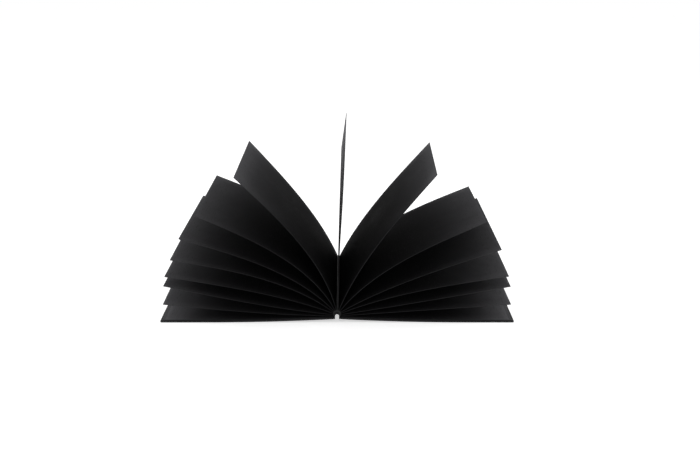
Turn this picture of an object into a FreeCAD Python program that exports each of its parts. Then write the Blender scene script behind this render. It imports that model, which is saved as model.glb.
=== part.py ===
import FreeCAD, Part
import math
import os

import Sketcher

# An album of black card that lies open on a table
# It rests on its two covers, with the leaves fanned out above them.
# X runs across the open book, Y along the spine, Z up from the table.
# The origin is on the table, midway along the spine.
# The front of the book is on the left. A leaf's turn is 0 degrees where it would
# lie flat on the left, 90 where it stands up, and 180 where it lies flat on the right.

doc = FreeCAD.newDocument("open_book")
sheet = doc.addObject("Spreadsheet::Sheet", "sizes")

# Driving sizes, in millimetres and degrees
SIZES = {
    "cover_width": 200.0,
    "cover_depth": 140.0,
    "cover_thickness": 2.0,
    "flat_run": 50.0,  # the covers lie flat over this width at the fore-edge
    "hinge_lift": 4.5,  # and curl up from there to this height at the spine
    "end_leaf_thickness": 0.5,
    "edge_margin": 2.0,  # the covers stand out past the end leaves by this much
    "slot_width": 4.6,  # the hollow under the arched spine
    "slot_height": 6.7,
    "strip_thickness": 1.0,
    "back_thickness": 1.0,  # the glued back edges of the leaves, beside the strip
    "back_rise": 2.0,  # the back's round stands this much above the strip's
    "foot_lip": 0.2,  # and its feet reach this much below the lowest leaves
    "leaf_setback": 5.0,  # the leaves are narrower than the covers by this much
    "leaf_thickness": 0.5,
    "leaf_bite": 0.7,  # how deep a leaf is set in the glued back
    "leaf_clearance": 0.3,  # between the back's feet and the end leaves
}

# How each leaf has fallen open, from the front of the book to its back: its turns
# at the spine and at the fore-edge, along its near end and then along its far end
LEAF_TURNS = [
    ((0.5, 6.5), (0.5, 8.5)),
    ((6.5, 13.5), (6.5, 13.0)),
    ((23.0, 10.0), (23.0, 10.0)),
    ((41.0, 10.5), (41.0, 11.0)),
    ((51.5, 17.5), (51.5, 15.5)),
    ((66.0, 25.0), (66.0, 23.0)),
    ((78.0, 46.5), (68.5, 49.5)),
    ((90.5, 92.0), (95.0, 92.0)),
    ((109.5, 128.0), (114.5, 130.5)),
    ((124.5, 154.5), (132.0, 156.5)),
    ((146.5, 160.0), (146.5, 157.5)),
    ((155.5, 170.5), (155.5, 168.5)),
    ((170.0, 168.5), (170.0, 168.0)),
    ((175.5, 175.5), (175.5, 176.0)),
]

for number, ends in enumerate(LEAF_TURNS, start=1):
    for end, (spine_turn, tip_turn) in zip(("near", "far"), ends):
        SIZES[f"leaf_{number:02d}_{end}_spine_turn"] = spine_turn
        SIZES[f"leaf_{number:02d}_{end}_tip_turn"] = tip_turn

for row, (alias, value) in enumerate(SIZES.items(), start=1):
    sheet.set(f"A{row}", alias)
    sheet.set(f"B{row}", str(value))
    sheet.setAlias(f"B{row}", alias)
doc.recompute()

# Places that several pieces share, as expressions on the sheet
CURL_RUN = "(sizes.cover_width - sizes.flat_run)"
CURL_RADIUS = f"(({CURL_RUN} ^ 2 + sizes.hinge_lift ^ 2) / (2 * sizes.hinge_lift))"
STRIP_HALF_WIDTH = "(sizes.slot_width / 2 + sizes.strip_thickness)"
STRIP_CENTRE = "(sizes.hinge_lift + sizes.slot_height - sizes.slot_width / 2)"
BACK_RADIUS = f"({STRIP_HALF_WIDTH} + sizes.back_thickness)"
BACK_CENTRE = f"({STRIP_CENTRE} + sizes.back_rise)"
BACK_FOOT = (
    "(sizes.hinge_lift + sizes.cover_thickness + sizes.end_leaf_thickness"
    " + sizes.leaf_clearance)"
)
LEAF_DEPTH = "(sizes.cover_depth - 2 * sizes.edge_margin)"
LEAF_WIDTH = "(sizes.cover_width - sizes.leaf_setback)"


def size(expression):
    """The present value of an expression on the sheet, in millimetres or degrees."""
    return float(sheet.evalExpression(expression.replace("sizes.", "")))


def section_sketch(body):
    """An empty sketch on the body's upright plane across the spine."""
    sketch = body.newObject("Sketcher::SketchObject", f"{body.Name}_section")
    plane = next(f for f in body.Origin.OriginFeatures if f.Role == "XZ_Plane")
    sketch.AttachmentSupport = [(plane, "")]
    sketch.MapMode = "FlatFace"
    return sketch


def dimension(sketch, kind, *places, expression):
    """Adds a dimension that follows the sheet."""
    index = sketch.addConstraint(Sketcher.Constraint(kind, *places, size(expression)))
    sketch.setExpression(f"Constraints[{index}]", expression)


def pad_along_spine(body, sketch, length):
    """Extends a section both ways along the spine."""
    pad = body.newObject("PartDesign::Pad", f"{body.Name}_pad")
    pad.Profile = sketch
    pad.SideType = "Symmetric"
    pad.setExpression("Length", length)
    body.Tip = pad


def curled_sheet(name, underside, thickness, reach, depth):
    """A flat sheet on the right of the spine that curls up towards it.

    Underside is its height over the table where it lies flat, and reach is
    how far it goes from the spine strip.
    """
    body = doc.addObject("PartDesign::Body", name)
    sketch = section_sketch(body)
    inner = size(STRIP_HALF_WIDTH)
    bend = inner + size(CURL_RUN)
    outer = inner + size(reach)
    low = size(underside)
    high = low + size(thickness)
    centre_height = size(CURL_RADIUS)

    def curl(height):
        radius = centre_height - height
        start = math.pi + math.acos((bend - inner) / radius)
        circle = Part.Circle(
            FreeCAD.Vector(bend, centre_height, 0), FreeCAD.Vector(0, 0, 1), radius
        )
        return Part.ArcOfCircle(circle, start, 1.5 * math.pi)

    def line(start, end):
        return Part.LineSegment(FreeCAD.Vector(*start, 0), FreeCAD.Vector(*end, 0))

    lower_curl = curl(low)
    upper_curl = curl(high)
    inner_low = lower_curl.StartPoint.y
    inner_high = upper_curl.StartPoint.y
    bottom = sketch.addGeometry(line((bend, low), (outer, low)))
    fore_edge = sketch.addGeometry(line((outer, low), (outer, high)))
    top = sketch.addGeometry(line((outer, high), (bend, high)))
    top_curl = sketch.addGeometry(upper_curl)
    spine_end = sketch.addGeometry(line((inner, inner_high), (inner, inner_low)))
    bottom_curl = sketch.addGeometry(lower_curl)

    sketch.addConstraint(
        [
            Sketcher.Constraint("Coincident", bottom, 2, fore_edge, 1),
            Sketcher.Constraint("Coincident", fore_edge, 2, top, 1),
            Sketcher.Constraint("Tangent", top, 2, top_curl, 2),
            Sketcher.Constraint("Coincident", top_curl, 1, spine_end, 1),
            Sketcher.Constraint("Coincident", spine_end, 2, bottom_curl, 1),
            Sketcher.Constraint("Tangent", bottom_curl, 2, bottom, 1),
            Sketcher.Constraint("Coincident", top_curl, 3, bottom_curl, 3),
            Sketcher.Constraint("Horizontal", bottom),
            Sketcher.Constraint("Horizontal", top),
            Sketcher.Constraint("Vertical", fore_edge),
            Sketcher.Constraint("Vertical", spine_end),
        ]
    )
    dimension(sketch, "DistanceX", -1, 1, spine_end, 2, expression=STRIP_HALF_WIDTH)
    dimension(sketch, "DistanceX", -1, 1, bottom, 1, expression=f"{STRIP_HALF_WIDTH} + {CURL_RUN}")
    dimension(sketch, "DistanceX", -1, 1, bottom, 2, expression=f"{STRIP_HALF_WIDTH} + {reach}")
    dimension(sketch, "DistanceY", -1, 1, bottom_curl, 3, expression=CURL_RADIUS)
    dimension(sketch, "Radius", bottom_curl, expression=f"{CURL_RADIUS} - {underside}")
    dimension(sketch, "DistanceY", fore_edge, 1, fore_edge, 2, expression=thickness)
    pad_along_spine(body, sketch, depth)
    return body


def arch(name, foot, inner_radius, inner_centre, outer_radius, outer_centre, depth):
    """A bar of arched section that stands over the spine on two straight legs."""
    body = doc.addObject("PartDesign::Body", name)
    sketch = section_sketch(body)
    low = size(foot)
    legs = []
    for radius, centre in ((inner_radius, inner_centre), (outer_radius, outer_centre)):
        half = size(radius)
        height = size(centre)
        circle = Part.Circle(
            FreeCAD.Vector(0, height, 0), FreeCAD.Vector(0, 0, 1), half
        )
        top = sketch.addGeometry(Part.ArcOfCircle(circle, 0, math.pi))
        right, left = [
            sketch.addGeometry(
                Part.LineSegment(FreeCAD.Vector(x, low, 0), FreeCAD.Vector(x, height, 0))
            )
            for x in (half, -half)
        ]
        sketch.addConstraint(
            [
                Sketcher.Constraint("Tangent", right, 2, top, 1),
                Sketcher.Constraint("Tangent", left, 2, top, 2),
                Sketcher.Constraint("Vertical", right),
                Sketcher.Constraint("Vertical", left),
                Sketcher.Constraint("PointOnObject", top, 3, -2),
            ]
        )
        dimension(sketch, "Radius", top, expression=radius)
        dimension(sketch, "DistanceY", -1, 1, top, 3, expression=centre)
        legs.append((right, left))
    for inner_leg, outer_leg in zip(*legs):
        ends = [sketch.getPoint(leg, 1) for leg in (inner_leg, outer_leg)]
        foot_line = sketch.addGeometry(Part.LineSegment(*ends))
        sketch.addConstraint(
            [
                Sketcher.Constraint("Coincident", foot_line, 1, inner_leg, 1),
                Sketcher.Constraint("Coincident", foot_line, 2, outer_leg, 1),
                Sketcher.Constraint("Horizontal", foot_line),
            ]
        )
        dimension(sketch, "DistanceY", -1, 1, foot_line, 1, expression=foot)
    pad_along_spine(body, sketch, depth)
    return body


def mirrored(source, name):
    """The same piece on the other side of the spine."""
    copy = doc.addObject("Part::Mirroring", name)
    copy.Source = source
    copy.Base = FreeCAD.Vector(0, 0, 0)
    copy.Normal = FreeCAD.Vector(1, 0, 0)
    return copy


# Covers, each with the end leaf that is pasted to it
back_cover = curled_sheet(
    "back_cover", "0", "sizes.cover_thickness", "sizes.cover_width", "sizes.cover_depth"
)
back_end_leaf = curled_sheet(
    "back_end_leaf",
    "sizes.cover_thickness",
    "sizes.end_leaf_thickness",
    "(sizes.cover_width - sizes.edge_margin)",
    LEAF_DEPTH,
)
front_cover = mirrored(back_cover, "front_cover")
front_end_leaf = mirrored(back_end_leaf, "front_end_leaf")

# Spine strip, folded over the hollow between the covers
spine_strip = arch(
    "spine_strip",
    "sizes.hinge_lift",
    "(sizes.slot_width / 2)",
    STRIP_CENTRE,
    STRIP_HALF_WIDTH,
    STRIP_CENTRE,
    "sizes.cover_depth",
)

# Glued back of the leaves, over the strip
glued_back = arch(
    "glued_back",
    BACK_FOOT,
    STRIP_HALF_WIDTH,
    STRIP_CENTRE,
    BACK_RADIUS,
    BACK_CENTRE,
    LEAF_DEPTH,
)

# Leaves
STATIONS = 12  # points along a leaf's curve
STEPS = 20  # finer steps that each stretch between them is added up from


def root_place(number):
    """Where leaf number leaves the back, and the way the back faces there.

    The roots are evenly spaced from the foot of the back's left side, over
    its round top, to the foot of its right side.
    """
    radius = size(BACK_RADIUS)
    centre = size(BACK_CENTRE)
    lowest = size(f"{BACK_FOOT} + sizes.foot_lip + sizes.leaf_thickness / 2")
    side = centre - lowest
    whole = 2 * side + math.pi * radius
    along = whole * (number - 1) / (len(LEAF_TURNS) - 1)
    if along <= side:
        place = FreeCAD.Vector(-radius, 0, lowest + along)
        facing = FreeCAD.Vector(-1, 0, 0)
    elif along >= whole - side:
        place = FreeCAD.Vector(radius, 0, lowest + whole - along)
        facing = FreeCAD.Vector(1, 0, 0)
    else:
        turn = (along - side) / radius
        facing = FreeCAD.Vector(-math.cos(turn), 0, math.sin(turn))
        place = FreeCAD.Vector(0, 0, centre) + facing * radius
    return place, facing


def leaf_edge(number, end, y):
    """The closed outline of a leaf's end: end is near or far, y its place.

    A leaf stands off the back at its turn at the spine and droops from
    there, most of all close to the spine, to its turn at the fore-edge.
    """
    place, facing = root_place(number)
    half = size("sizes.leaf_thickness / 2")
    spine_turn = math.radians(size(f"sizes.leaf_{number:02d}_{end}_spine_turn"))
    tip_turn = math.radians(size(f"sizes.leaf_{number:02d}_{end}_tip_turn"))
    point = place - facing * size("sizes.leaf_bite")
    point.y = y
    step = size(LEAF_WIDTH) / (STATIONS * STEPS)
    upper = []
    lower = []
    for station in range(STATIONS + 1):
        share = station / STATIONS
        turn = tip_turn + (spine_turn - tip_turn) * (1 - share) ** 2
        across = FreeCAD.Vector(math.sin(turn), 0, math.cos(turn)) * half
        upper.append(point + across)
        lower.append(point - across)
        for part in range(STEPS):
            middle = share + (part + 0.5) / (STATIONS * STEPS)
            turn = tip_turn + (spine_turn - tip_turn) * (1 - middle) ** 2
            point = point + FreeCAD.Vector(-math.cos(turn), 0, math.sin(turn)) * step
    top, bottom = Part.BSplineCurve(), Part.BSplineCurve()
    top.interpolate(upper)
    bottom.interpolate(lower)
    return Part.Wire(
        [
            bottom.toShape(),
            Part.makeLine(lower[-1], upper[-1]),
            top.toShape(),
            Part.makeLine(upper[0], lower[0]),
        ]
    )


leaves = []
for number in range(1, len(LEAF_TURNS) + 1):
    reach = size(LEAF_DEPTH) / 2
    ends = [leaf_edge(number, "near", -reach), leaf_edge(number, "far", reach)]
    leaf = doc.addObject("Part::Feature", f"leaf_{number:02d}")
    leaf.Shape = Part.makeLoft(ends, True, True)
    leaf.Placement = FreeCAD.Placement()
    leaves.append(leaf)

# Pages: the leaves and their glued back are one solid
# The leaves that lean to the left are joined to the back first, and the others to both.
front_leaves = [leaf for leaf, (near, far) in zip(leaves, LEAF_TURNS) if near[0] < 90]
back_leaves = leaves[len(front_leaves) :]
front_pages = doc.addObject("Part::MultiFuse", "front_pages")
front_pages.Shapes = [glued_back] + front_leaves
front_pages.Refine = True
pages = doc.addObject("Part::MultiFuse", "pages")
pages.Shapes = [front_pages] + back_leaves
pages.Refine = True

doc.recompute()

SUB_PARTS = [pages, spine_strip, front_cover, back_cover, front_end_leaf, back_end_leaf]
for item in doc.Objects:
    if "Invalid" in item.State or "Error" in item.State:
        raise RuntimeError(f"{item.Label} failed: {item.State}")
for item in SUB_PARTS:
    if item.Shape.isNull() or not item.Shape.isValid():
        raise RuntimeError(f"{item.Label} has no valid shape")

os.makedirs("parts", exist_ok=True)
for item in SUB_PARTS:
    item.Shape.exportStep(f"parts/{item.Label}.step")
    box = item.Shape.BoundBox
    print(item.Label, len(item.Shape.Solids), round(item.Shape.Volume), box)
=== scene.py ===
import math

import bpy
import numpy as np
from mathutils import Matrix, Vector


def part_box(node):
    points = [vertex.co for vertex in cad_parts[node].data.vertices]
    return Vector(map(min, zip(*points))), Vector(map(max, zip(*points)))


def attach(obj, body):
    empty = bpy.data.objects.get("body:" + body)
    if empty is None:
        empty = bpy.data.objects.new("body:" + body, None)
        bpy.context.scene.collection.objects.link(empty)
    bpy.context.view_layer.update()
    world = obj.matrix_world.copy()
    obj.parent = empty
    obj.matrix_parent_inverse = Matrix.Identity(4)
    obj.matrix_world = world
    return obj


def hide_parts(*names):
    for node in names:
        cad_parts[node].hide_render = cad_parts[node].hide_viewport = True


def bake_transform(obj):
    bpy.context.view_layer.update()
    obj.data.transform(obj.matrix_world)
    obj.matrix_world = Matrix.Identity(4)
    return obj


# An album of black card that lies open on a table, with its leaves fanned out
# X runs across the open book, Y along the spine and away from the camera, Z up.
# The front of the book is on the left. A leaf's turn is 0 degrees where it would
# lie flat on the left, 90 where it stands up, and 180 where it lies flat on the right.

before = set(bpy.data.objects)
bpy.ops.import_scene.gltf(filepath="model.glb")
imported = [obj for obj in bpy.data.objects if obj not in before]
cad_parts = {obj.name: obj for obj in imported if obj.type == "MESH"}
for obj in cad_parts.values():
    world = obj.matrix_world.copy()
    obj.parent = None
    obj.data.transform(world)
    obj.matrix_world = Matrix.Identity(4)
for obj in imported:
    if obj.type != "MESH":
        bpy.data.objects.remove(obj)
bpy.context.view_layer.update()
bpy.ops.object.select_all(action="DESELECT")

MM = 0.001

# Sizes that the frame gives
cover_low, cover_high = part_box("back_cover")
end_low, end_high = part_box("back_end_leaf")
strip_low, strip_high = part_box("spine_strip")
pages_low, pages_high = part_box("pages")

COVER_DEPTH = cover_high.y - cover_low.y
COVER_REACH = cover_high.x
STRIP_RADIUS = strip_high.x
STRIP_CENTRE = strip_high.z - STRIP_RADIUS
HINGE_LIFT = strip_low.z
END_LEAF_DEPTH = end_high.y - end_low.y
END_LEAF_REACH = end_high.x
LEAF_DEPTH = pages_high.y - pages_low.y
BACK_FOOT = pages_low.z

# Sizes that part.py drives, in metres
COVER_THICKNESS = 2 * MM
FLAT_RUN = 50 * MM
END_LEAF_THICKNESS = 0.5 * MM
STRIP_THICKNESS = 1 * MM
BACK_RADIUS = STRIP_RADIUS + 1 * MM
BACK_CENTRE = STRIP_CENTRE + 2 * MM
LEAF_WIDTH = 195 * MM
LEAF_THICKNESS = 0.5 * MM
LEAF_BITE = 0.7 * MM  # how deep a leaf is set in the glued back
FOOT_LIP = 0.2 * MM  # how far the back's feet reach below the lowest leaves

# How each leaf has fallen open, from the front of the book to its back: its turns
# at the spine and at the fore-edge, along its near end and then along its far end.
# They repeat part.py's, which come from a fit to the photo, rounded to half degrees.
LEAF_TURNS = [
    ((0.5, 6.5), (0.5, 8.5)),
    ((6.5, 13.5), (6.5, 13.0)),
    ((23.0, 10.0), (23.0, 10.0)),
    ((41.0, 10.5), (41.0, 11.0)),
    ((51.5, 17.5), (51.5, 15.5)),
    ((66.0, 25.0), (66.0, 23.0)),
    ((78.0, 46.5), (68.5, 49.5)),
    ((90.5, 92.0), (95.0, 92.0)),
    ((109.5, 128.0), (114.5, 130.5)),
    ((124.5, 154.5), (132.0, 156.5)),
    ((146.5, 160.0), (146.5, 157.5)),
    ((155.5, 170.5), (155.5, 168.5)),
    ((170.0, 168.5), (170.0, 168.0)),
    ((175.5, 175.5), (175.5, 176.0)),
]
UPRIGHT = 8  # the leaf that stands up


# Modelling helpers

def choose(piece):
    """Makes one piece the selected and active one."""
    bpy.ops.object.select_all(action="DESELECT")
    piece.select_set(True)
    bpy.context.view_layer.objects.active = piece


def apply_modifier(piece, kind, **settings):
    """Adds a modifier, sets it and applies it."""
    choose(piece)
    modifier = piece.modifiers.new(kind.lower(), kind)
    for name, value in settings.items():
        setattr(modifier, name, value)
    bpy.ops.object.modifier_apply(modifier=modifier.name)


def copy_piece(piece, name):
    """A copy with its own mesh."""
    twin = piece.copy()
    twin.data = piece.data.copy()
    twin.name = twin.data.name = name
    bpy.context.collection.objects.link(twin)
    return twin


def mirror_piece(piece, name):
    """The same piece on the other side of the spine."""
    twin = copy_piece(piece, name)
    choose(twin)
    twin.scale = (-1, 1, 1)
    bpy.ops.object.transform_apply(location=False, rotation=False, scale=True)
    bpy.ops.object.mode_set(mode="EDIT")
    bpy.ops.mesh.select_all(action="SELECT")
    bpy.ops.mesh.normals_make_consistent(inside=False)
    bpy.ops.object.mode_set(mode="OBJECT")
    return twin


def flat_sheet(name, length, depth, thickness, corner, edge, strips, rows):
    """A flat sheet that runs out from x 0, centred on the spine's length.

    Its corners and its edges are rounded. Its UV map plan is its plan in metres,
    and the map grain, for the card's pattern, is the same until it is shifted.
    """
    bpy.ops.object.select_all(action="DESELECT")
    bpy.ops.mesh.primitive_plane_add(size=1, location=(length / 2, 0, 0))
    sheet = bpy.context.object
    sheet.name = sheet.data.name = name
    sheet.scale = (length, depth, 1)
    bpy.ops.object.transform_apply(location=True, rotation=True, scale=True)
    bpy.ops.object.mode_set(mode="EDIT")
    bpy.ops.mesh.select_all(action="SELECT")
    bpy.ops.mesh.bevel(offset=corner, segments=4, affect="VERTICES")
    for strip in range(1, strips):
        bpy.ops.mesh.select_all(action="SELECT")
        bpy.ops.mesh.bisect(plane_co=(length * strip / strips, 0, 0), plane_no=(1, 0, 0))
    for row in range(1, rows):
        bpy.ops.mesh.select_all(action="SELECT")
        bpy.ops.mesh.bisect(
            plane_co=(0, depth * (row / rows - 0.5), 0), plane_no=(0, 1, 0)
        )
    bpy.ops.object.mode_set(mode="OBJECT")
    plan = sheet.data.uv_layers[0]
    plan.name = "plan"
    grain = sheet.data.uv_layers.new(name="grain")
    for loop, place, copy in zip(sheet.data.loops, plan.data, grain.data):
        place.uv = copy.uv = sheet.data.vertices[loop.vertex_index].co.xy
    sheet.data.materials.append(None)
    sheet.data.materials.append(None)
    apply_modifier(
        sheet, "SOLIDIFY", thickness=thickness, offset=0, material_offset_rim=1
    )
    apply_modifier(
        sheet, "BEVEL", width=edge, segments=2, limit_method="ANGLE",
        angle_limit=math.radians(60), harden_normals=False,
    )
    return sheet


def bend_along(sheet, points, tilts=None):
    """Bends a flat sheet so that it follows points in the plane across the spine."""
    line = bpy.data.curves.new("bend_line", "CURVE")
    line.dimensions = "3D"
    line.twist_mode = "Z_UP"
    line.use_path = True
    line.use_deform_bounds = False
    spline = line.splines.new("POLY")
    spline.points.add(len(points) - 1)
    for place, point, tilt in zip(spline.points, points, tilts or [0] * len(points)):
        place.co = (point.x, point.z, 0, 1)
        place.tilt = tilt
    guide = bpy.data.objects.new("bend_line", line)
    guide.rotation_euler.x = math.radians(90)
    bpy.context.collection.objects.link(guide)
    bpy.context.view_layer.update()
    apply_modifier(sheet, "CURVE", object=guide, deform_axis="POS_X")
    bpy.data.objects.remove(guide)
    bpy.data.curves.remove(line)


GRAIN_SHIFT = Vector((0.31, 0.17))  # from one sheet's pattern to the next, in metres


def shift_grain(sheet, number):
    """Moves a sheet's grain along, so that no two sheets show the same pattern."""
    shift = GRAIN_SHIFT * number
    for place in sheet.data.uv_layers["grain"].data:
        place.uv += shift


def smooth(piece, angle=35):
    """Smooth shading, with hard edges where faces meet at more than the angle."""
    choose(piece)
    bpy.ops.object.shade_smooth_by_angle(angle=math.radians(angle))


# Leaves

STRIPS = 48
ROWS = 12


def root_place(number):
    """Where a leaf leaves the glued back, and the way the back faces there."""
    lowest = BACK_FOOT + FOOT_LIP + LEAF_THICKNESS / 2
    side = BACK_CENTRE - lowest
    whole = 2 * side + math.pi * BACK_RADIUS
    along = whole * (number - 1) / (len(LEAF_TURNS) - 1)
    if along <= side:
        return Vector((-BACK_RADIUS, 0, lowest + along)), Vector((-1, 0, 0))
    if along >= whole - side:
        return Vector((BACK_RADIUS, 0, lowest + whole - along)), Vector((1, 0, 0))
    turn = (along - side) / BACK_RADIUS
    facing = Vector((-math.cos(turn), 0, math.sin(turn)))
    return Vector((0, 0, BACK_CENTRE)) + facing * BACK_RADIUS, facing


def leaf_edge(number, spine_turn, tip_turn):
    """The line that an end of a leaf follows from the back to its fore-edge."""
    place, facing = root_place(number)
    points = [place - facing * LEAF_BITE]
    for strip in range(STRIPS):
        share = (strip + 0.5) / STRIPS
        turn = math.radians(tip_turn + (spine_turn - tip_turn) * (1 - share) ** 2)
        run = Vector((-math.cos(turn), 0, math.sin(turn))) * LEAF_WIDTH / STRIPS
        points.append(points[-1] + run)
    return points


def leaf_line(number):
    """The middle line of a leaf, and how far it is twisted at each point."""
    near, far = [leaf_edge(number, *turns) for turns in LEAF_TURNS[number - 1]]
    middle = [(a + b) / 2 for a, b in zip(near, far)]
    tilts = []
    for place, (a, b) in enumerate(zip(near, far)):
        run = middle[min(place + 1, STRIPS)] - middle[max(place - 1, 0)]
        rise = (b - a).dot(Vector((-run.z, 0, run.x)).normalized())
        tilts.append(math.asin(rise / LEAF_DEPTH))
    return middle, tilts


flat_leaf = flat_sheet(
    "flat_leaf", LEAF_WIDTH, LEAF_DEPTH, LEAF_THICKNESS,
    corner=0.8 * MM, edge=0.1 * MM, strips=STRIPS, rows=ROWS,
)
leaves = []
for number in range(1, len(LEAF_TURNS) + 1):
    leaf = copy_piece(flat_leaf, f"leaf_{number:02d}")
    points, tilts = leaf_line(number)
    bend_along(leaf, points, tilts)
    shift_grain(leaf, number)
    smooth(leaf)
    leaves.append(leaf)
bpy.data.objects.remove(flat_leaf)


# Covers and their end leaves

COVER_STRIPS = 24
COVER_ROWS = 4
CURL_RUN = COVER_REACH - STRIP_RADIUS - FLAT_RUN
CURL_RADIUS = (CURL_RUN**2 + HINGE_LIFT**2) / (2 * HINGE_LIFT)
BEND_PLACE = STRIP_RADIUS + CURL_RUN


def cover_line(height, reach):
    """The line of a sheet at a height in the back cover, from the spine outwards."""
    radius = CURL_RADIUS - height
    widest = math.asin(CURL_RUN / radius)
    points = []
    for step in range(COVER_STRIPS):
        turn = widest * (1 - step / COVER_STRIPS)
        across = BEND_PLACE - radius * math.sin(turn)
        points.append(Vector((across, 0, CURL_RADIUS - radius * math.cos(turn))))
    points.append(Vector((BEND_PLACE, 0, height)))
    points.append(Vector((reach, 0, height)))
    return points


def length_of(points):
    return sum((b - a).length for a, b in zip(points, points[1:]))


cover_middle = cover_line(COVER_THICKNESS / 2, COVER_REACH)
cover_length = length_of(cover_middle)
back_cover = flat_sheet(
    "cover_back", cover_length, COVER_DEPTH, COVER_THICKNESS,
    corner=1.2 * MM, edge=0.45 * MM, strips=COVER_STRIPS, rows=COVER_ROWS,
)
bend_along(back_cover, cover_middle)
smooth(back_cover)

end_leaf_middle = cover_line(COVER_THICKNESS + END_LEAF_THICKNESS / 2, END_LEAF_REACH)
back_end_leaf = flat_sheet(
    "end_leaf_back", length_of(end_leaf_middle), END_LEAF_DEPTH, END_LEAF_THICKNESS,
    corner=0.8 * MM, edge=0.1 * MM, strips=COVER_STRIPS, rows=COVER_ROWS,
)
bend_along(back_end_leaf, end_leaf_middle)
smooth(back_end_leaf)

front_cover = mirror_piece(back_cover, "cover_front")
front_end_leaf = mirror_piece(back_end_leaf, "end_leaf_front")
for number, sheet in enumerate((front_cover, back_cover, front_end_leaf, back_end_leaf)):
    shift_grain(sheet, len(leaves) + number)


# Spine strip and glued back

def arch_bar(name, radius, centre, foot, depth):
    """A solid bar with a round top and straight sides, over the middle of the spine."""
    bpy.ops.object.select_all(action="DESELECT")
    bpy.ops.mesh.primitive_cylinder_add(
        vertices=64, radius=radius, depth=depth,
        location=(0, 0, centre), rotation=(math.radians(90), 0, 0), end_fill_type="NGON",
    )
    bar = bpy.context.object
    bar.name = bar.data.name = name
    bpy.ops.object.transform_apply(location=True, rotation=True, scale=True)
    bpy.ops.object.mode_set(mode="EDIT")
    bpy.ops.mesh.select_all(action="SELECT")
    bpy.ops.mesh.bisect(
        plane_co=(0, 0, centre), plane_no=(0, 0, 1), clear_inner=True, use_fill=True
    )
    bpy.ops.mesh.extrude_region_move(
        TRANSFORM_OT_translate={"value": (0, 0, foot - centre)}
    )
    bpy.ops.mesh.select_all(action="SELECT")
    bpy.ops.mesh.remove_doubles(threshold=0.00001)
    bpy.ops.mesh.normals_make_consistent(inside=False)
    bpy.ops.object.mode_set(mode="OBJECT")
    return bar


def hollow_out(bar, core):
    """Cuts a core out of a bar, and removes the core."""
    apply_modifier(bar, "BOOLEAN", operation="DIFFERENCE", object=core, solver="EXACT")
    bpy.data.objects.remove(core)


def right_half(bar, edge):
    """Keeps the half on the right of the spine's middle, with softened edges."""
    choose(bar)
    bpy.ops.object.mode_set(mode="EDIT")
    bpy.ops.mesh.select_all(action="SELECT")
    bpy.ops.mesh.bisect(
        plane_co=(0, 0, 0), plane_no=(1, 0, 0), clear_inner=True, use_fill=True
    )
    bpy.ops.object.mode_set(mode="OBJECT")
    apply_modifier(
        bar, "BEVEL", width=edge, segments=2, limit_method="ANGLE",
        angle_limit=math.radians(60),
    )
    smooth(bar)


SLOT_RADIUS = STRIP_RADIUS - STRIP_THICKNESS
BELOW = 1 * MM  # how far the cutting cores reach past the foot

strip_back = arch_bar("strip_back", STRIP_RADIUS, STRIP_CENTRE, HINGE_LIFT, COVER_DEPTH)
slot = arch_bar("slot", SLOT_RADIUS, STRIP_CENTRE, HINGE_LIFT - BELOW, 1.1 * COVER_DEPTH)
hollow_out(strip_back, slot)
right_half(strip_back, 0.15 * MM)
strip_front = mirror_piece(strip_back, "strip_front")

glued_back = arch_bar("glued_back", BACK_RADIUS, BACK_CENTRE, BACK_FOOT, LEAF_DEPTH)
strip_space = arch_bar("strip_space", STRIP_RADIUS, STRIP_CENTRE, BACK_FOOT - BELOW, 1.1 * COVER_DEPTH)
hollow_out(glued_back, strip_space)
right_half(glued_back, 0.12 * MM)
glued_front = mirror_piece(glued_back, "glued_front")


# Helpers for materials

def new_material(name):
    """A material with its tree and its Principled BSDF."""
    material = bpy.data.materials.new(name)
    material.use_nodes = True
    tree = material.node_tree
    return material, tree, tree.nodes["Principled BSDF"]


def add_node(tree, kind, **settings):
    """Adds a node; a setting that names an input, such as Scale, sets its value."""
    node = tree.nodes.new(kind)
    for name, value in settings.items():
        if name in node.inputs:
            node.inputs[name].default_value = value
        else:
            setattr(node, name, value)
    return node


def add_math(tree, operation, first, second=None):
    """A Math node whose terms are sockets or numbers; gives back its output."""
    node = add_node(tree, "ShaderNodeMath", operation=operation)
    for socket, term in zip(node.inputs, (first, second)):
        if isinstance(term, bpy.types.NodeSocket):
            tree.links.new(term, socket)
        elif term is not None:
            socket.default_value = term
    return node.outputs["Value"]


def add_range(tree, value, low, high, to_low=0.0, to_high=1.0):
    """Maps a value's stretch from low to high onto another, and stops at its ends."""
    node = add_node(tree, "ShaderNodeMapRange")
    tree.links.new(value, node.inputs["Value"])
    for name, number in (
        ("From Min", low), ("From Max", high), ("To Min", to_low), ("To Max", to_high)
    ):
        node.inputs[name].default_value = number
    return node.outputs["Result"]


def add_mix(tree, share, first, second):
    """Mixes two colours, each a socket or a plain colour; gives back the mixed colour."""
    node = add_node(tree, "ShaderNodeMix", data_type="RGBA")
    tree.links.new(share, node.inputs["Factor"])
    for socket, colour in zip((node.inputs[6], node.inputs[7]), (first, second)):
        if isinstance(colour, bpy.types.NodeSocket):
            tree.links.new(colour, socket)
        else:
            socket.default_value = (*colour, 1)
    return node.outputs[2]


def add_noise(tree, place, scale, detail=2.0, roughness=0.5):
    """A noise pattern over a place."""
    node = add_node(
        tree, "ShaderNodeTexNoise", Scale=scale, Detail=detail, Roughness=roughness
    )
    tree.links.new(place, node.inputs["Vector"])
    return node.outputs["Fac"]


def stretch_place(tree, place, stretch, turn=0.0):
    """A place turned in its plane and stretched along its own axes."""
    node = add_node(tree, "ShaderNodeMapping", Scale=stretch, Rotation=(0, 0, turn))
    tree.links.new(place, node.inputs["Vector"])
    return node.outputs["Vector"]


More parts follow.
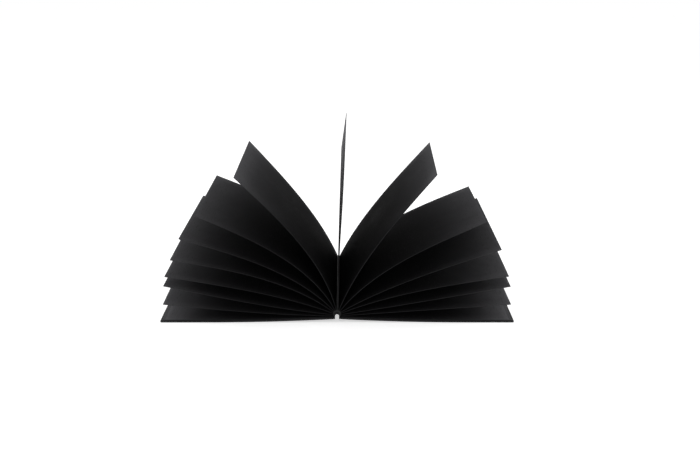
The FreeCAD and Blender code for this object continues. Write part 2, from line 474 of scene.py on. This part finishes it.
def new_group(name, inputs, outputs):
    """An empty node group; gives back the group, its input node and its output node."""
    group = bpy.data.node_groups.new(name, "ShaderNodeTree")
    for label, kind, value in inputs:
        socket = group.interface.new_socket(label, in_out="INPUT", socket_type=kind)
        if value is not None:
            socket.default_value = value
    for label in outputs:
        group.interface.new_socket(label, in_out="OUTPUT", socket_type="NodeSocketFloat")
    return group, group.nodes.new("NodeGroupInput"), group.nodes.new("NodeGroupOutput")


def use_group(tree, group, place, **values):
    """Places a group in a material over a place, with its own values."""
    node = add_node(tree, "ShaderNodeGroup", node_tree=group)
    tree.links.new(place, node.inputs["Place"])
    for name, value in values.items():
        node.inputs[name.replace("_", " ")].default_value = value
    return node.outputs


def add_bump(tree, shader, height, strength, distance):
    """A height pattern in metres times distance, for the shader's normal."""
    node = add_node(tree, "ShaderNodeBump", Strength=strength, Distance=distance)
    tree.links.new(height, node.inputs["Height"])
    tree.links.new(node.outputs["Normal"], shader.inputs["Normal"])


def uv_place(tree, name):
    """The place on a sheet's own map, in metres."""
    return add_node(tree, "ShaderNodeUVMap", uv_map=name).outputs["UV"]


def object_place(tree):
    return add_node(tree, "ShaderNodeTexCoord").outputs["Object"]


FLOAT = "NodeSocketFloat"
VECTOR = "NodeSocketVector"


# Effects that several materials share

def make_card_tooth():
    """The felt of pressed fibres on card: a fine height, long fibres and cloudy mottling."""
    group, given, result = new_group(
        "card_tooth",
        [("Place", VECTOR, None), ("Tooth Scale", FLOAT, 1400.0), ("Mottle Scale", FLOAT, 35.0)],
        ["Height", "Fibres", "Mottle"],
    )
    place = given.outputs["Place"]
    tooth = add_noise(group, place, 1400.0, detail=3.0, roughness=0.65)
    group.links.new(given.outputs["Tooth Scale"], tooth.node.inputs["Scale"])
    fibre_sum = None
    for turn in (0.3, 1.5, 2.6):
        laid = stretch_place(group, place, (900, 110, 1), turn)
        fibres = add_range(group, add_noise(group, laid, 1.0, detail=1.0), 0.62, 0.75)
        fibre_sum = fibres if fibre_sum is None else add_math(group, "MAXIMUM", fibre_sum, fibres)
    mottle = add_noise(group, place, 35.0, detail=4.0, roughness=0.6)
    group.links.new(given.outputs["Mottle Scale"], mottle.node.inputs["Scale"])
    height = add_math(group, "ADD", tooth, add_math(group, "MULTIPLY", fibre_sum, 0.35))
    group.links.new(height, result.inputs["Height"])
    group.links.new(fibre_sum, result.inputs["Fibres"])
    group.links.new(add_range(group, mottle, 0.3, 0.7), result.inputs["Mottle"])
    return group


def make_rim_rub():
    """A mask of the rubbed border of a sheet, from its map in metres.

    The map runs from 0 at the spine to the sheet's length at the fore-edge, and
    by half its depth to each side. The rub is strongest at the fore-edge corners.
    """
    group, given, result = new_group(
        "rim_rub",
        [
            ("Place", VECTOR, None), ("Length", FLOAT, 0.2), ("Depth", FLOAT, 0.14),
            ("Width", FLOAT, 0.002), ("Corner Width", FLOAT, 0.01),
        ],
        ["Mask", "Corners"],
    )
    place = given.outputs["Place"]
    parts = add_node(group, "ShaderNodeSeparateXYZ")
    group.links.new(place, parts.inputs["Vector"])
    from_fore = add_math(group, "SUBTRACT", given.outputs["Length"], parts.outputs["X"])
    half = add_math(group, "MULTIPLY", given.outputs["Depth"], 0.5)
    from_side = add_math(group, "SUBTRACT", half, add_math(group, "ABSOLUTE", parts.outputs["Y"]))
    nearest = add_math(group, "MINIMUM", from_fore, from_side)
    ragged = add_range(group, add_noise(group, place, 260.0, detail=4.0, roughness=0.7), 0.3, 0.7)
    reach = add_math(group, "MULTIPLY", given.outputs["Width"], ragged)
    rim = add_math(group, "SUBTRACT", 1.0, add_math(group, "DIVIDE", nearest, reach))
    corner = add_math(group, "ADD", from_fore, from_side)
    corner_reach = add_math(group, "MULTIPLY", given.outputs["Corner Width"], ragged)
    corner_rub = add_math(group, "SUBTRACT", 1.0, add_math(group, "DIVIDE", corner, corner_reach))
    corners = add_range(group, corner_rub, 0.0, 1.0)
    mask = add_math(group, "MAXIMUM", add_range(group, rim, 0.0, 1.0), corners)
    group.links.new(mask, result.inputs["Mask"])
    group.links.new(corners, result.inputs["Corners"])
    return group


def make_handling():
    """Where hands have polished a sheet: soft clouds, broken by finer marks."""
    group, given, result = new_group("handling", [("Place", VECTOR, None)], ["Polish", "Dust"])
    place = given.outputs["Place"]
    clouds = add_range(group, add_noise(group, place, 22.0, detail=2.0), 0.45, 0.7)
    marks = add_range(group, add_noise(group, place, 170.0, detail=3.0, roughness=0.6), 0.35, 0.65)
    specks = add_node(group, "ShaderNodeTexVoronoi", Scale=420.0)
    group.links.new(place, specks.inputs["Vector"])
    few = add_range(group, add_noise(group, place, 90.0, detail=1.0), 0.6, 0.68)
    dot = add_range(group, specks.outputs["Distance"], 0.06, 0.11, 1.0, 0.0)
    group.links.new(add_math(group, "MULTIPLY", clouds, marks), result.inputs["Polish"])
    group.links.new(add_math(group, "MULTIPLY", dot, few), result.inputs["Dust"])
    return group


def make_bookcloth():
    """A plain weave of thread: its height and how deep a place lies between threads."""
    group, given, result = new_group(
        "bookcloth", [("Place", VECTOR, None), ("Thread", FLOAT, 0.0004)], ["Height", "Gaps"]
    )
    ways = []
    parts = add_node(group, "ShaderNodeSeparateXYZ")
    group.links.new(given.outputs["Place"], parts.inputs["Vector"])
    for axis in ("X", "Y"):
        along = add_math(group, "DIVIDE", parts.outputs[axis], given.outputs["Thread"])
        wave = add_math(group, "SINE", add_math(group, "MULTIPLY", along, math.pi))
        ways.append(add_math(group, "ABSOLUTE", wave))
    height = add_math(group, "MULTIPLY", *ways)
    group.links.new(height, result.inputs["Height"])
    group.links.new(add_range(group, height, 0.0, 0.35, 1.0, 0.0), result.inputs["Gaps"])
    return group


card_tooth = make_card_tooth()
rim_rub = make_rim_rub()
handling = make_handling()
bookcloth = make_bookcloth()


# Colours, and how they lie on the card
# The card is deep black at the spine, and pales towards its fore-edge: a painted sheen, light painted
# onto the outer margins.
PAINTED_SHEEN_START = 0.3 * LEAF_WIDTH
LEAF_BLACK = (0.0095, 0.0092, 0.0099)
LEAF_BLACK_CLOUD = (0.0124, 0.012, 0.0128)
LEAF_PAINTED_SHEEN = (0.09, 0.0887, 0.0936)
LEAF_PAINTED_SHEEN_CLOUD = (0.108, 0.1064, 0.1123)
FIBRE_GREY = (0.03, 0.03, 0.031)
RUBBED_GREY = (0.045, 0.045, 0.047)
DUST_GREY = (0.09, 0.088, 0.085)
# The cut edge's greys: the fibres' own grey, made paler as a painted highlight on the edges.
CUT_GREY_WITH_HIGHLIGHT = (0.3, 0.3, 0.306)
CUT_PALE_WITH_HIGHLIGHT = (0.42, 0.42, 0.428)
COVER_BLACK = (0.0125, 0.0125, 0.013)
COVER_BLACK_CLOUD = (0.019, 0.019, 0.0196)
CLOTH_BLACK = (0.011, 0.011, 0.012)
CLOTH_GAP_SHADE = (0.003, 0.003, 0.003)
GLUE_BLACK = (0.004, 0.004, 0.0045)
GLUE_GREY = (0.012, 0.012, 0.0125)


# Materials

def make_leaf_card():
    """Black card, dyed through: matt, a little cloudy, polished where it is handled."""
    material, tree, shader = new_material("leaf_card")
    grain = uv_place(tree, "grain")
    tooth = use_group(tree, card_tooth, grain, Tooth_Scale=1400.0, Mottle_Scale=32.0)
    hands = use_group(tree, handling, grain)
    rub = use_group(
        tree, rim_rub, uv_place(tree, "plan"), Length=LEAF_WIDTH, Depth=LEAF_DEPTH,
        Width=0.0011, Corner_Width=0.004,
    )
    deep = add_mix(tree, tooth["Mottle"], LEAF_BLACK, LEAF_BLACK_CLOUD)
    painted_sheen = add_mix(tree, tooth["Mottle"], LEAF_PAINTED_SHEEN, LEAF_PAINTED_SHEEN_CLOUD)
    parts = add_node(tree, "ShaderNodeSeparateXYZ")
    tree.links.new(uv_place(tree, "plan"), parts.inputs["Vector"])
    outwards = add_range(tree, parts.outputs["X"], PAINTED_SHEEN_START, LEAF_WIDTH)
    # Painted sheen: the colour pales from the card's black towards the fore-edge, as if light caught
    # the outer margins.
    colour = add_mix(tree, add_math(tree, "POWER", outwards, 3.5), deep, painted_sheen)
    colour = add_mix(tree, add_math(tree, "MULTIPLY", tooth["Fibres"], 0.35), colour, FIBRE_GREY)
    colour = add_mix(tree, add_math(tree, "MULTIPLY", rub["Mask"], 0.5), colour, RUBBED_GREY)
    colour = add_mix(tree, add_math(tree, "MULTIPLY", hands["Dust"], 0.3), colour, DUST_GREY)
    tree.links.new(colour, shader.inputs["Base Color"])
    matt = add_range(tree, tooth["Mottle"], 0.0, 1.0, 0.7, 0.78)
    rough = add_math(tree, "SUBTRACT", matt, add_math(tree, "MULTIPLY", hands["Polish"], 0.1))
    tree.links.new(rough, shader.inputs["Roughness"])
    shader.inputs["Specular IOR Level"].default_value = 0.015
    add_bump(tree, shader, tooth["Height"], 0.25, 0.00006)
    return material


def make_card_cut():
    """The cut edge of the card, where the sheared fibres stand open and look grey; the grey is made
    paler still, a painted highlight along the edges.
    """
    material, tree, shader = new_material("card_cut")
    grain = uv_place(tree, "grain")
    tooth = use_group(tree, card_tooth, grain, Tooth_Scale=2600.0, Mottle_Scale=120.0)
    # Painted highlight: the cut edge is paler than its fibres alone would be.
    colour = add_mix(tree, tooth["Mottle"], CUT_GREY_WITH_HIGHLIGHT, CUT_PALE_WITH_HIGHLIGHT)
    colour = add_mix(tree, add_math(tree, "MULTIPLY", tooth["Fibres"], 0.6), colour, FIBRE_GREY)
    tree.links.new(colour, shader.inputs["Base Color"])
    shader.inputs["Roughness"].default_value = 0.85
    add_bump(tree, shader, tooth["Height"], 0.5, 0.0001)
    return material


def make_cover_paper():
    """The covers' black paper: fine pressed grain, rubbed grey at its edges and corners."""
    material, tree, shader = new_material("cover_paper")
    grain = uv_place(tree, "grain")
    tooth = use_group(tree, card_tooth, grain, Tooth_Scale=900.0, Mottle_Scale=25.0)
    hands = use_group(tree, handling, grain)
    rub = use_group(
        tree, rim_rub, uv_place(tree, "plan"), Length=cover_length, Depth=COVER_DEPTH,
        Width=0.0018, Corner_Width=0.009,
    )
    pebbles = add_node(tree, "ShaderNodeTexVoronoi", Scale=1100.0, feature="SMOOTH_F1")
    tree.links.new(grain, pebbles.inputs["Vector"])
    grained = add_math(
        tree, "ADD", add_math(tree, "MULTIPLY", tooth["Height"], 0.4), pebbles.outputs["Distance"]
    )
    colour = add_mix(tree, tooth["Mottle"], COVER_BLACK, COVER_BLACK_CLOUD)
    colour = add_mix(tree, add_math(tree, "MULTIPLY", rub["Mask"], 0.55), colour, RUBBED_GREY)
    colour = add_mix(tree, add_math(tree, "MULTIPLY", hands["Dust"], 0.4), colour, DUST_GREY)
    tree.links.new(colour, shader.inputs["Base Color"])
    matt = add_range(tree, tooth["Mottle"], 0.0, 1.0, 0.46, 0.56)
    polished = add_math(tree, "SUBTRACT", matt, add_math(tree, "MULTIPLY", hands["Polish"], 0.14))
    rough = add_math(tree, "ADD", polished, add_math(tree, "MULTIPLY", rub["Mask"], 0.2))
    tree.links.new(rough, shader.inputs["Roughness"])
    shader.inputs["Specular IOR Level"].default_value = 0.12
    add_bump(tree, shader, grained, 0.35, 0.0001)
    return material


def make_spine_cloth():
    """Black bookcloth, a plain weave filled with starch."""
    material, tree, shader = new_material("spine_cloth")
    place = object_place(tree)
    weave = use_group(tree, bookcloth, place, Thread=0.0004)
    worn = add_range(tree, add_noise(tree, place, 60.0, detail=3.0), 0.4, 0.75)
    # The weave's gaps are darkened: painted shade between the threads.
    colour = add_mix(tree, weave["Gaps"], CLOTH_BLACK, CLOTH_GAP_SHADE)
    colour = add_mix(tree, add_math(tree, "MULTIPLY", worn, 0.3), colour, RUBBED_GREY)
    tree.links.new(colour, shader.inputs["Base Color"])
    tree.links.new(add_range(tree, weave["Gaps"], 0.0, 1.0, 0.6, 0.85), shader.inputs["Roughness"])
    shader.inputs["Specular IOR Level"].default_value = 0.3
    add_bump(tree, shader, weave["Height"], 0.5, 0.00012)
    return material


def make_glued_back():
    """The leaves' glued back edges: dark glue in small runs between the leaves."""
    material, tree, shader = new_material("glued_back")
    place = object_place(tree)
    laid = stretch_place(tree, place, (700, 60, 700))
    runs = add_noise(tree, laid, 1.0, detail=3.0, roughness=0.6)
    beads = add_noise(tree, place, 500.0, detail=2.0)
    colour = add_mix(tree, add_range(tree, runs, 0.35, 0.65), GLUE_BLACK, GLUE_GREY)
    tree.links.new(colour, shader.inputs["Base Color"])
    tree.links.new(add_range(tree, beads, 0.3, 0.7, 0.35, 0.6), shader.inputs["Roughness"])
    shader.inputs["Specular IOR Level"].default_value = 0.3
    add_bump(tree, shader, add_math(tree, "ADD", runs, beads), 0.5, 0.00015)
    return material


leaf_card = make_leaf_card()
card_cut = make_card_cut()
cover_paper = make_cover_paper()
spine_cloth = make_spine_cloth()
glued_card = make_glued_back()


def paint(piece, *materials):
    piece.data.materials.clear()
    for material in materials:
        piece.data.materials.append(material)


for leaf in leaves + [front_end_leaf, back_end_leaf]:
    paint(leaf, leaf_card, card_cut)
for cover in (front_cover, back_cover):
    paint(cover, cover_paper, cover_paper)
for strip in (strip_front, strip_back):
    paint(strip, spine_cloth)
for glued in (glued_front, glued_back):
    paint(glued, glued_card)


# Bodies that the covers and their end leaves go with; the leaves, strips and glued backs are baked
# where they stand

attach(front_cover, "front")
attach(front_end_leaf, "front")
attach(back_cover, "back")
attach(back_end_leaf, "back")
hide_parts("front_cover")
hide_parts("back_cover")
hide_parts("front_end_leaf")
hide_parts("back_end_leaf")

for number, leaf in enumerate(leaves, start=1):
    body = "front" if number < UPRIGHT else "back"
    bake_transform(leaf)
    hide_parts("pages")

for piece, body in (
    (strip_front, "front"), (strip_back, "back"), (glued_front, "front"), (glued_back, "back")
):
    side = -1 if body == "front" else 1
    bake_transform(piece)
for piece in (strip_front, strip_back):
    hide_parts("spine_strip")
for piece in (glued_front, glued_back):
    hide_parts("pages")


# Floor, light and camera

def add_backdrop_rays(tree):
    """1 for the rays that show the white backdrop: the camera's, reflected and refracted ones."""
    rays = add_node(tree, "ShaderNodeLightPath").outputs
    bounced = add_math(tree, "MAXIMUM", rays["Is Glossy Ray"], rays["Is Transmission Ray"])
    return add_math(tree, "MAXIMUM", rays["Is Camera Ray"], bounced)


bpy.ops.object.select_all(action="DESELECT")
bpy.ops.mesh.primitive_plane_add(size=40, location=(0, 0, 0))
floor = bpy.context.object
floor.name = "floor"
white_floor, tree, shader = new_material("white_floor")
shader.inputs["Base Color"].default_value = (0.8, 0.8, 0.8, 1)
shader.inputs["Roughness"].default_value = 0.9
shader.inputs["Specular IOR Level"].default_value = 0
paint(floor, white_floor)

FLOOR_GLOW = 0.6  # what the floor shows of its own, to the camera and in reflections
shader.inputs["Emission Color"].default_value = (1, 1, 1, 1)
glow = add_math(tree, "MULTIPLY", add_backdrop_rays(tree), FLOOR_GLOW)
tree.links.new(glow, shader.inputs["Emission Strength"])

# The studio is bright round about, dimmer overhead and dim behind the camera
HORIZON_LIGHT = 0.95
ZENITH_LIGHT = 0.5
CAMERA_SIDE_SHARE = 0.3
world = bpy.data.worlds.new("studio")
bpy.context.scene.world = world
world.use_nodes = True
tree = world.node_tree
sky = tree.nodes["Background"]
sky.inputs["Color"].default_value = (1, 1, 1, 1)
way = add_node(tree, "ShaderNodeTexCoord").outputs["Generated"]
parts = add_node(tree, "ShaderNodeSeparateXYZ")
tree.links.new(way, parts.inputs["Vector"])
round_about = add_range(tree, parts.outputs["Z"], 0.0, 1.0, HORIZON_LIGHT, ZENITH_LIGHT)
side_share = add_range(tree, parts.outputs["Y"], -0.8, 0.2, CAMERA_SIDE_SHARE, 1.0)
lit = add_math(tree, "MULTIPLY", round_about, side_share)
seen = add_backdrop_rays(tree)
unseen = add_math(tree, "SUBTRACT", 1.0, seen)
strength = add_math(tree, "ADD", add_math(tree, "MULTIPLY", lit, unseen), seen)
tree.links.new(strength, sky.inputs["Strength"])


def soft_lamp(name, place, target, size, power):
    """A square soft box at a place, pointed at a target."""
    lamp = bpy.data.lights.new(name, "AREA")
    lamp.size = size
    lamp.energy = power
    item = bpy.data.objects.new(name, lamp)
    bpy.context.collection.objects.link(item)
    item.location = place
    item.rotation_euler = (Vector(target) - Vector(place)).to_track_quat("-Z", "Y").to_euler()
    return item


SIDE_POWER = 9
SIDE_SIZE = 0.7
SIDE_REACH = 1.1
SIDE_HEIGHT = 0.4
LAMP_TARGET = (0, 0, 0.06)
for side in (-1, 1):
    place = (SIDE_REACH * side, 0, SIDE_HEIGHT)
    soft_lamp(f"side_lamp_{side}", place, LAMP_TARGET, SIDE_SIZE, SIDE_POWER)

# The camera's fit to the photo, on its 700 by 450 pixel frame
PHOTO_WIDTH = 700
FOCAL_PIXELS = 630.7
AXIS_COLUMN = 345.5
SENSOR_WIDTH = 36
CAMERA_PLACE = (0.0097, -0.6811, 0.4051)
LOOK_DOWN = 24.74  # degrees below level
camera_data = bpy.data.cameras.new("camera")
camera_data.sensor_width = SENSOR_WIDTH
camera_data.lens = SENSOR_WIDTH * FOCAL_PIXELS / PHOTO_WIDTH
camera_data.shift_x = (PHOTO_WIDTH / 2 - AXIS_COLUMN) / PHOTO_WIDTH
camera = bpy.data.objects.new("camera", camera_data)
bpy.context.collection.objects.link(camera)
camera.location = CAMERA_PLACE
camera.rotation_euler = (math.radians(90 - LOOK_DOWN), 0, 0)
bpy.context.scene.camera = camera

bpy.context.scene.view_settings.view_transform = "Standard"
